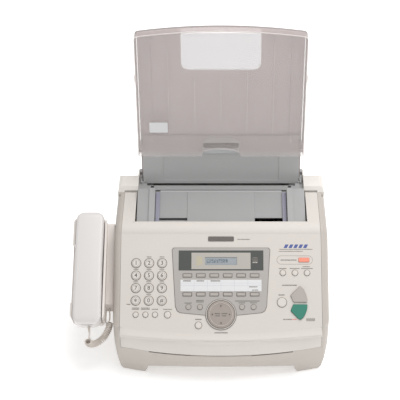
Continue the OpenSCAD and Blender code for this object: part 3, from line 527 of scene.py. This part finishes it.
# the other round keys: place along the panel, radius, and half width and lines of the caption
lower_keys = [(-139, 4.2, 6, 2), (-123, 4.2, 7.4, 2), (-107.5, 4.2, 5.2, 1), (-87, 5.2, 7.2, 1)]
upper_keys = [(101.3, 4.6, 6.4, 1), (121.2, 4.6, 8.4, 1), (141, 4.6, 9.6, 1)]
round_keys = [(u, 42, r) for u, r, half, lines in lower_keys] + [(-36.7, 24.7, 5.4)]
round_keys += [(u, 110.7, r) for u, r, half, lines in upper_keys] + [(99.3, 62, 7.6)]
bezel_keys = [(u, 54.5) for u in (-53, -34.2, 34.2, 53)]
BEZEL_KEY_R = 4
bands("key_rings", [ring_at(u, v, DIAL_R + 1.2, DIAL_R + 0.3) for n, u, v in dial]
      + [ring_at(u, v, r + 0.85, r + 0.3) for u, v, r in round_keys],
      PANEL, "ring", "top_cover", "white_casing")
bands("bezel_key_rings", [ring_at(u, v, BEZEL_KEY_R + 0.8, BEZEL_KEY_R + 0.3, BEZEL_TOP)
                          for u, v in bezel_keys],
      PANEL, "ink", "top_cover", "bezel_plastic")

words = []
for n, u, v in dial:
    if n not in "1*#":
        words += caption(u - 4, u + 4, v + 10.4)
words += caption(-154, -147, 59)
for u, r, half, lines in lower_keys:
    for k in range(lines):
        words += caption(u - half, u + half, 50.9 + 2.1 * k)
words += captions((-42, -31.4, 34.5, 1.5), (-10.7, 11, 12.7, 1.4))
for u, r, half, lines in upper_keys:
    words += caption(u - half, u + half, 118)
words += captions((134, 146, 121), (94, 104, 74.4, 1.5), (100, 124.5, 90.3, 1.5), (101, 115.6, 34.5, 1.4),
                  (98, 124.6, 132, 1.4), (96, 151, 149.9, 1), (95, 135, 146.6, 1), (27, 48, 166.5, 1.2))
printed("panel_captions", words, "ink", "top_cover")
printed("start_caption_red", caption(115.9, 123, 34.5, 1.4), "red", "top_cover")
words = captions((-59.5, -47.5, 61), (-40.5, -27.5, 65.2), (-40.5, -27.5, 62.9), (28.5, 40, 61.4),
                 (47.5, 59, 61.4)) + [rect(23, 62.7, 63.7, 65)]
printed("bezel_captions", words, "dark_ink_and_shade", "top_cover", w=BEZEL_TOP, slot="bezel_plastic")
BEZEL = [(-77, 152), (77, 152), (80, 149), (74, 56), (71, 48.5), (66, 45.5), (24, 41.3), (-24, 41.3),
         (-66, 45.5), (-71, 48.5), (-74, 56), (-80, 149)]
BEZEL_MIDDLE = 97


def grown_bezel(k):
    """Outline of the bezel grown k times about its middle."""
    return [(u * k, BEZEL_MIDDLE + (v - BEZEL_MIDDLE) * k) for u, v in BEZEL]


# dark line round the foot of the bezel: painted shade
bands("bezel_edge_shade", [(grown_bezel(1.014), grown_bezel(0.999), -0.1, 0.12)],
      PANEL, "ring", "top_cover", "white_casing")
prisms("bezel_key_caps", [(arc(4.1, u, v, 36), 0.4, 2.25) for u, v in bezel_keys],
       PANEL, "touch_key", "function_keys", "white_key", bevel=0.7)
bands("one_touch_rims", [(around(u, v, 7.75, 3.35), around(u, v, 7.1, 2.7),
                          BEZEL_TOP - PRINT, BEZEL_TOP + 0.12)
                         for u in range(-55, 56, 22) for v in (106.4, 75.3)],
      PANEL, "ink", "top_cover", "bezel_plastic")
bands("pill_outline", [(rounded(91.6, 150.6, 124.8, 139.4, 7.2), rounded(92.1, 150.1, 125.3, 138.9, 6.7),
                        -PRINT, PRINT)], PANEL, "ring", "top_cover", "white_casing")
prisms("maker_badge", [(rounded(-21.3, 21.3, 163.2, 171.4, 1.6), -0.5, 0.8)],
       PANEL, "badge", "top_cover", "grey_plastic", bevel=0.3)
prisms("small_badge", [(rounded(138.5, 153, 31.8, 36.6, 1), -0.3, 0.35)],
       PANEL, "chrome", "top_cover", "grey_plastic", bevel=0.12)
printed("blue_bars", [[(u, 152), (u + 5.4, 152), (u + 5.4 + 3, 158), (u + 3, 158)]
                      for u in range(103, 136, 8)],
        "blue", "top_cover")

# ------------------------------------------------------------------ under the panel
FRONT_Y = -170           # middle of the curved lower front
FRONT_ARC = 1320         # twice the radius of that curve
TONGUE_HALF = 50
PANEL_HALF = 164
PANEL_SAG = 9.0          # how far up the slope the panel's lower edge goes at its ends
BROW_HALF = 164.2
BROW_STEPS = 48


def exit_front(x, set_back):
    """Place of the curved lower front at x, moved back a little."""
    return FRONT_Y + x * x / FRONT_ARC + set_back


def brow():
    """Vertices and faces of the soft brow along the panel's lower edge, lower at its two ends."""
    section = [(13, -0.1), (9, 0.25), (5, 0.8), (2.2, 1.45), (0.9, 1.65), (0, 1.5), (-0.7, 1.0), (-1.5, 0.3),
               (-2.2, -0.4), (-2.2, -1.2), (13, -1.2)]
    verts = []
    for i in range(BROW_STEPS + 1):
        u = -BROW_HALF + 2 * BROW_HALF * i / BROW_STEPS
        edge = PANEL_SAG * (u / PANEL_HALF) ** 2 - 0.4
        fade = min(1, (BROW_HALF - abs(u)) / 5 + 0.25)
        verts += [(u, edge + v, w * fade if w > 0 else w) for v, w in section]
    return verts, skin(BROW_STEPS + 1, len(section))


# raised tongue in the middle of the paper exit
tongue_xs = range(-TONGUE_HALF, TONGUE_HALF + 1, 5)
tongue = [(x, exit_front(x, -0.5)) for x in tongue_xs] + [(x, exit_front(x, 4)) for x in reversed(tongue_xs)]
prisms("exit_tongue", [(tongue, 54.6, 59.2)], BODY, "base", "base", "white_casing", bevel=1.1)
add("panel_brow", *brow(), PANEL, "casing", "top_cover", "white_casing", sharp=50)

# ------------------------------------------------------------------ label strip, display and navigator
prisms("label_card", [(rect(-66.3, 66.3, 80.3, 99.3), 1.05, CARD_TOP)],
       PANEL, "card", "top_cover", "white_casing")
grid = [rect(u - 0.15, u + 0.15, 80.6, 99) for u in (-44, -22, 0, 22, 44)]
grid += [rect(-66, 66, 89.65, 89.95), rect(-66, 66, 93.6, 93.8)]
printed("label_grid", grid, "card_line", "top_cover", w=CARD_TOP)
words = captions((-62, -49, 97.4, 1.8), (-40, -27, 97.4, 1.8), (-17, -1, 97.4, 1.8), (46, 60, 87.6, 1.4),
                 (51, 61, 82.2, 1.4))
printed("label_words", words, "ring", "top_cover", w=CARD_TOP)

LCD_CELLS = 9
LCD_START = (-23.5, 127.3)     # lower left corner of the first cell
CELL_PITCH = 3.9
DOT_PITCH = (0.66, 0.92)
DOT = (0.56, 0.8)
prisms("lcd_glass", [(rect(-26.1, 26.1, 123.8, 136.6), -0.45, LCD_TOP)],
       PANEL, "lcd", "top_cover", "lcd_plastic")
dots = []
for cell in range(LCD_CELLS):
    for i in range(5):
        for j in range(7):
            if rng.random() < 0.58:
                u = LCD_START[0] + cell * CELL_PITCH + i * DOT_PITCH[0]
                v = LCD_START[1] + j * DOT_PITCH[1]
                dots.append(rect(u, u + DOT[0], v, v + DOT[1]))
printed("lcd_dots", dots, "lcd_ink", "top_cover", w=LCD_TOP, slot="lcd_plastic")
prisms("window_tint", [([(-40, 122), (-31, 125), (-31, 136.4), (-40, 139.4)], 0.88, 0.93)],
       PANEL, "amber", "top_cover", "lcd_plastic")
prisms("status_lamp", [(rounded(51.4, 60.2, 126.9, 128.9, 0.9), 0.5, 1.0)],
       PANEL, "chrome", "top_cover", "dark_window", bevel=0.2)
printed("lamp_words", captions((52, 60, 135.9, 1.1), (50.6, 60.6, 133.6, 1.1), (51.5, 61, 131.4, 1.1)),
        "ring", "top_cover", w=0.7, slot="dark_window")

bands("navigator_rim", [(arc(24.7, *NAV, steps=NAV_STEPS), arc(23.15, *NAV, steps=NAV_STEPS), -0.6, 1.1)],
      PANEL, "rim", "top_cover", "grey_plastic", bevel=0.35)
# dark ring round the navigator's rim: painted shade of the gap round it
bands("navigator_groove_shade", [(arc(25.5, *NAV, steps=NAV_STEPS), arc(24.6, *NAV, steps=NAV_STEPS),
                            -0.5, BEZEL_TOP + 0.06)], PANEL, "dark_ink_and_shade", "top_cover", "grey_plastic")
bands("navigator_inner_line", [ring_at(*NAV, 18.9, 18.4, KEY_TOP + 0.7, NAV_STEPS)],
      PANEL, "rim", "navigator_key", "grey_key")
arrows = []
for way, du, dv in ((90, 0, 14), (270, 0, -14), (180, -14, 0), (0, 14, 0)):
    tips = [math.radians(way + turn) for turn in (0, 120, 240)]
    arrows.append([(NAV[0] + du + 1.5 * math.cos(t), NAV[1] + dv + 1.5 * math.sin(t)) for t in tips])
printed("navigator_arrows", arrows, "black", "navigator_key", w=2.72, slot="grey_key")
words = captions((-10.5, -1, 43.6, 1.5), (1, 10.5, 43.6, 1.5), (-9, -1.5, 40, 1.4), (1.5, 9, 40, 1.4))
printed("navigator_words", words, "dark_ink_and_shade", "navigator_key", w=KEY_TOP, slot="grey_key")

# ------------------------------------------------------------------ paper tray and its cover
COVER_HALF = 141         # half width of the tray cover
COVER_CORNER = 6
COVER_ARCH = 1000        # radius of the arched top
ARCH_CENTRE = -769       # height of its centre
ARCH_STEPS = 48
CORNER_STEPS = 8


def cover_outline(inset, v_low):
    """Front outline of the tray cover, from its left foot over the arched top to the right foot."""
    corner_u = COVER_HALF - COVER_CORNER
    corner_v = math.sqrt((COVER_ARCH - COVER_CORNER) ** 2 - corner_u ** 2) + ARCH_CENTRE
    tilt = math.atan2(corner_u, corner_v - ARCH_CENTRE)
    r = COVER_CORNER - inset
    left = [(inset - COVER_HALF, v_low)]
    for k in range(CORNER_STEPS + 1):
        a = math.radians(180) - k / CORNER_STEPS * (math.radians(90) - tilt)
        left.append((r * math.cos(a) - corner_u, corner_v + r * math.sin(a)))
    top = []
    for k in range(1, ARCH_STEPS):
        a = -tilt + 2 * tilt * k / ARCH_STEPS
        top.append(((COVER_ARCH - inset) * math.sin(a), ARCH_CENTRE + (COVER_ARCH - inset) * math.cos(a)))
    return left + top + [(-u, v) for u, v in reversed(left)]


def strip(inset0, inset1, v_low):
    """Outline of a strip along the edge of the tray cover."""
    return cover_outline(inset0, v_low) + list(reversed(cover_outline(inset1, v_low)))


def stretch(side, near, far):
    """The two ends of a stretch on one side of the middle line, lower one first."""
    return sorted((side * near, side * far))


# light strip along the cover's front edge and sides: a painted highlight
prisms("cover_edge_highlight_strip", [(strip(-0.05, 1.25, 1.0), -1.0, 0.06)],
       COVER, "edge_highlight", "tray_cover", "smoked_plastic")
prisms("cover_back_edge", [(strip(-0.05, 2.6, 1.0), -24.05, -22.4)],
       COVER, "edge_grey", "tray_cover", "smoked_plastic")
prisms("cover_wall_film", [(strip(1.1, 1.4, 1.5), -22.8, -1.2)],
       COVER, "film", "tray_cover", "smoked_plastic")
# darker, pinker sheet over the upper part of the tension plate: painted shade under the tray cover
printed("tension_upper_shade_sheet", [rect(-133, -32, 58, 88), rect(32, 133, 58, 88), rect(-32, 32, 82, 88)],
        "upper", "tension_plate", at=TENSION, w=0.02, slot="grey_plastic")
# dark sheet behind the grip: painted shade in the gap between the cover's lip and the grip
prisms("grip_recess_shade", [(rounded(-31, 31, 65, 80.6, 2), -5.2, -4.2)],
       TENSION, "dark", "tension_plate", "grey_plastic")
prisms("grip_bar", [([(-29, 57), (29, 57), (29, 64), (20, 66), (10, 67), (0, 67.4), (-10, 67), (-20, 66),
                      (-29, 64)], -0.5, 1.6)], TENSION, "grip", "tension_plate", "grey_plastic", bevel=0.6)
# the two outer ribs run up beside the window, the others end under it
ribs = [(-88, 211), (-44, 151), (0, 151), (44, 151), (88, 211)]
printed("tray_rib_lines", [rect(u - 0.45, u + 0.45, 30, top) for u, top in ribs],
        "rib_light", "base", at=COVER, w=-18.55, slot="clear_plastic")
# darker lines along the two folds of the tray: painted shade of the creases
printed("tray_creases", [rect(s * 115.3 - 0.4, s * 115.3 + 0.4, 26, 222) for s in (-1, 1)],
        "crease", "base", at=COVER, w=-20, slot="clear_plastic")
prisms("cover_label", [(rounded(-120.5, -89.5, 46.5, 65.5, 1.5), -0.05, 0.1)],
       COVER, "card", "tray_cover", "smoked_plastic")
window = both_sides([(-65.6, 219), (-65.6, 165), (-62.8, 158), (-55, 154.2)])
window_frame = both_sides([(-66.8, 219), (-66.8, 164), (-64, 156.5), (-56, 152.6)])
prisms("tray_window_rim", [(window_frame + window[::-1], -20.2, -19.3)],
       COVER, "rib_light", "base", "clear_plastic")
prisms("tray_window_pane", [(window, -20.1, -19.9)], COVER, "pane", "base", "clear_plastic")
prisms("table_rear_lip", [(rect(-104, 104, 71.6, 75.4), -1.3, -0.15)],
       TABLE, "tension", "top_cover", "grey_plastic", bevel=0.4)
for side, name in ((-1, "left"), (1, "right")):
    prisms("tray_tab_" + name, [(rounded(*stretch(side, 106, 131), 2, 26, 2), -20, -17.8),
                                (rect(*stretch(side, 117, 120), 3, 27), -17.8, -13)],
           COVER, "rib_light", "base", "clear_plastic", bevel=0.4)
    prisms("cover_catch_" + name, [(rounded(*stretch(side, 140.6, 142.6), 138, 150, 0.8), -12, -4)],
           COVER, "catch", "tray_cover", "smoked_plastic", bevel=0.3)
    prisms("paper_hook_" + name, [(rounded(side * 118 - 2.6, side * 118 + 2.6, 80.5, 86, 1), 209.8, 214)],
           BODY, "black", "base", "grey_plastic", bevel=0.5)
    prisms("guide_ledge_" + name, [(rect(*stretch(side, 104.2, 111), 3, 69.5), 1.5, 3.2)],
           TABLE, "lavender", "guide_" + name, "grey_plastic", bevel=0.4)

# ------------------------------------------------------------------ handset
HANDSET_ENDS = (3.6, 196.4)
HANDSET_MIDDLE = 100
CUPS = (28, 172)         # middles of the earpiece and the mouthpiece
HOLES = (-24.85, -24.6)  # underside and top of the dark discs that stand for the holes in the cups
HALF_W = 23
END_R = 14               # corner radius seen from above
EDGE_R = 6.5             # rounding of the two ends seen from the side
SEAM = 0.5               # height of the line between the two shells
FROM_END = (0, 0.25, 0.8, 1.7, 3, 4.6, 6.5, 8.6, 11, 14)


def smooth(t):
    """Smooth step from 0 to 1."""
    t = min(max(t, 0.0), 1.0)
    return t * t * (3 - 2 * t)


def corner_fall(d, r):
    """How far a rounded corner of radius r falls back at distance d from the end."""
    return r - math.sqrt(r ** 2 - (r - min(d, r)) ** 2)


def handset_section(v):
    """Half width, top and underside of the handset at v."""
    d = min(v - HANDSET_ENDS[0], HANDSET_ENDS[1] - v)
    off = abs(v - HANDSET_MIDDLE)
    half = HALF_W - corner_fall(d, END_R) - 0.7 * math.exp(-(off / 42) ** 2)
    top = 15.4 - 3.9 * (off / 88) ** 2.4 - 1.5 * smooth((off - 84) / 14)
    under = -10.8 - 13.9 * smooth((off - 39) / 9)
    fall = corner_fall(d, EDGE_R)
    return half, top - fall, under + fall * 0.8


def handset_loft():
    """Vertices and faces of the handset, from sections along its length."""
    stations = [HANDSET_ENDS[0] + x for x in FROM_END]
    stations += [20 + 5 * k for k in range(33)]
    stations += [HANDSET_ENDS[1] - x for x in reversed(FROM_END)]
    verts = []
    for v in stations:
        half, top, under = handset_section(v)
        r_top, r_low = min(5.2, half * 0.5), min(4.5, half * 0.45)
        side = []
        for k in range(7):
            a = math.radians(90 - 15 * k)
            side.append((half - r_top + r_top * math.cos(a), top - r_top + r_top * math.sin(a)))
        side += [(half, SEAM + 1.0), (half, SEAM + 0.45), (half - 0.7, SEAM + 0.25),
                 (half - 0.7, SEAM - 0.25), (half, SEAM - 0.45), (half, SEAM - 1.0)]
        for k in range(7):
            a = math.radians(-15 * k)
            side.append((half - r_low + r_low * math.cos(a), under + r_low + r_low * math.sin(a)))
        verts += [(u, v, w) for u, w in side] + [(-u, v, w) for u, w in reversed(side)]
    return verts, skin(len(stations), len(verts) // len(stations))


shell = add("handset_shell", *handset_loft(), REST, "handset", "handset", "white_casing", sharp=38)
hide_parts("handset")
holes = [arc(1.0, 5.6 * math.cos(a), c + 5.6 * math.sin(a), 12)
         for c in CUPS for a in (math.radians(60 * k) for k in range(6))]
holes += [arc(1.0, 0, c, 12) for c in CUPS]
# dark discs in the cups: painted shade standing for the holes
prisms("handset_hole_shades", [(hole, *HOLES) for hole in holes], REST, "dark", "handset", "white_casing")
bands("handset_cups", [(arc(15, 0, c), arc(12.6, 0, c), -25.4, -24.4) for c in CUPS],
      REST, "handset", "handset", "white_casing", bevel=0.4)

# ------------------------------------------------------------------ curled cord
COIL_PATH = [(-214.5, -155.5, 86), (-217, -153.5, 76), (-215, -149, 66.5), (-207, -142.5, 61),
             (-197, -134.5, 62.5), (-189, -126.5, 70.5), (-184.6, -118.5, 80.5), (-183.5, -111.5, 91.5)]
PATH_STEPS = 400
WIRE = 2.4                 # diameter of the wire
COIL_R = 4.9               # from the middle of the coil to the middle of the wire
PITCH = 2.95               # between two turns
WIRE_STEP = 1.9            # between two points of the wire
RAMP_STEPS = 8             # steps from straight to wound, at each end
CORD_EXIT = (-215, -142.8, 99.8)
LEAD_WAY = (0, -0.853, -0.522)
LEAD_SIDE = (0, 1, 0.2)
CORD_END = (-184, -104.6, 102.6)
TAIL_WAY = (0, 0.79, 0.61)
TAIL_SIDE = (0, -0.84, 0.54)


def spline(points, t):
    """Smooth point on a route, t from 0 to 1."""
    pos = t * (len(points) - 1)
    k = min(int(pos), len(points) - 2)
    f = pos - k
    a, b = Vector(points[max(k - 1, 0)]), Vector(points[k])
    c, d = Vector(points[k + 1]), Vector(points[min(k + 2, len(points) - 1)])
    return 0.5 * (2 * b + (c - a) * f + (2 * a - 5 * b + 4 * c - d) * f * f
                  + (3 * b - a - 3 * c + d) * f ** 3)


def bend(start, way_in, end, way_out, reach, steps):
    """Smooth curve from one point and direction to another, without its two ends."""
    a, b = Vector(start), Vector(end)
    c, d = a + Vector(way_in).normalized() * reach, b - Vector(way_out).normalized() * reach
    return [a * (1 - t) ** 3 + c * (3 * t * (1 - t) ** 2) + d * (3 * t * t * (1 - t)) + b * t ** 3
            for t in (i / steps for i in range(1, steps))]


def carried_sides(ways):
    """A direction square to each of the ways, carried along the route without twisting about it."""
    side = Vector(LEAD_SIDE)
    sides = []
    for way in ways:
        side = (side - way * side.dot(way)).normalized()
        sides.append(side)
    return sides


def wire_slopes(length):
    """Slope of each step of the wire to its turn: straight along the coil at its ends, wound between them."""
    flat = math.atan(PITCH / (2 * math.pi * COIL_R))
    easing = [flat + (math.pi / 2 - flat) * (1 + math.cos(math.pi * (i + 0.5) / RAMP_STEPS)) / 2
              for i in range(RAMP_STEPS)]
    left = length - 2 * WIRE_STEP * sum(math.sin(a) for a in easing)
    return easing + [flat] * round(left / (WIRE_STEP * math.sin(flat))) + easing[::-1]


def coil_points():
    """Centreline of the wire: lead from the handset, coil, tail into the bracket."""
    dense = [spline(COIL_PATH, i / PATH_STEPS) for i in range(PATH_STEPS + 1)]
    along = [0.0]
    for p, q in zip(dense, dense[1:]):
        along.append(along[-1] + (q - p).length)
    ways = [(q - p).normalized() for p, q in zip(dense, dense[1:])]
    ways.append(ways[-1])
    sides = carried_sides(ways)
    slopes = wire_slopes(along[-1])
    run = sum(math.sin(a) for a in slopes)
    turn = sum(math.cos(a) for a in slopes) * WIRE_STEP / COIL_R
    # the turns are stretched a little so that the last one ends on the tail's side
    end_side = Vector(TAIL_SIDE)
    want = math.atan2(end_side.dot(ways[-1].cross(sides[-1])), end_side.dot(sides[-1])) % (2 * math.pi)
    whole = want + 2 * math.pi * round((turn - want) / (2 * math.pi))
    wire, s, phase, j = [], 0.0, 0.0, 0
    for slope in [0.0] + slopes:
        if wire:
            s += math.sin(slope) * along[-1] / run
            phase += math.cos(slope) * WIRE_STEP / COIL_R * whole / turn
        while j < PATH_STEPS - 1 and along[j + 1] < s:
            j += 1
        f = (s - along[j]) / max(along[j + 1] - along[j], 1e-9)
        off = sides[j] * math.cos(phase) + ways[j].cross(sides[j]) * math.sin(phase)
        wire.append(dense[j].lerp(dense[j + 1], f) + off * COIL_R)
    lead = [Vector(CORD_EXIT)] + bend(CORD_EXIT, LEAD_WAY, wire[0], ways[0], 6, 10)
    tail = bend(wire[-1], ways[-1], CORD_END, TAIL_WAY, 4, 8) + [Vector(CORD_END)]
    return lead + wire + tail


def round_curve(name, points, radius, resolution):
    """A curve object of round section through points in metres."""
    data = bpy.data.curves.new(name, "CURVE")
    data.dimensions = "3D"
    data.bevel_depth = radius * MM
    data.bevel_resolution = resolution
    data.use_fill_caps = True
    line = data.splines.new("POLY")
    line.points.add(len(points) - 1)
    for p, q in zip(line.points, points):
        p.co = (*q, 1)
    data.materials.append(M["cord"])
    obj = bpy.data.objects.new(name, data)
    scene.collection.objects.link(obj)
    return obj


wire = [BODY @ p for p in coil_points()]
cord = round_curve("handset_curl", wire, WIRE / 2, 3)
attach(cord, "base")
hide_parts("handset_cord")
# tapered strain relief where the cord leaves the handset, its radius given point by point
relief = round_curve("handset_strain_relief", wire[:7], 1, 4)
for i, p in enumerate(relief.data.splines[0].points):
    p.radius = 2.5 - 0.16 * i
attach(relief, "base")

# ------------------------------------------------------------------ studio
FLOOR_HALF = 8             # metres
WORLD_LIGHT = 0.57
FLOOR_GLOW = 0.36
floor_mesh = bpy.data.meshes.new("floor")
floor_mesh.from_pydata([(x, y, 0) for x, y in rect(-FLOOR_HALF, FLOOR_HALF, -FLOOR_HALF, FLOOR_HALF)], [],
                       [(0, 1, 2, 3)])
floor = bpy.data.objects.new("floor", floor_mesh)
scene.collection.objects.link(floor)
floor_mat = bpy.data.materials.new("floor_white")
floor_mat.use_nodes = True
floor_shader = floor_mat.node_tree.nodes["Principled BSDF"]
floor_shader.inputs["Base Color"].default_value = (0.97, 0.97, 0.97, 1)
floor_shader.inputs["Emission Color"].default_value = (1, 1, 1, 1)
floor_shader.inputs["Emission Strength"].default_value = FLOOR_GLOW
floor_shader.inputs["Roughness"].default_value = 0.9
floor_shader.inputs["Specular IOR Level"].default_value = 0.1
floor_mesh.materials.append(floor_mat)

world = bpy.data.worlds.new("studio")
world.use_nodes = True
world.node_tree.nodes["Background"].inputs["Color"].default_value = (1.0, 1.0, 1.0, 1)
world.node_tree.nodes["Background"].inputs["Strength"].default_value = WORLD_LIGHT
scene.world = world
scene.view_settings.view_transform = "Standard"
scene.view_settings.look = "None"


def softbox(name, place, aim, size, power):
    """Square area light at a place in metres, aimed at a point, with its power in watts."""
    light = bpy.data.lights.new(name, "AREA")
    light.shape = "SQUARE"
    light.size = size
    light.energy = power
    obj = bpy.data.objects.new(name, light)
    obj.location = place
    obj.rotation_euler = (Vector(aim) - Vector(place)).to_track_quat("-Z", "Y").to_euler()
    scene.collection.objects.link(obj)


softbox("overhead", (0.8, 0.3, 2.8), (0, 0, 0.1), 2.3, 61)
softbox("front_fill", (1.6, -2.8, 1.4), (0, 0, 0.15), 1.6, 2.5)
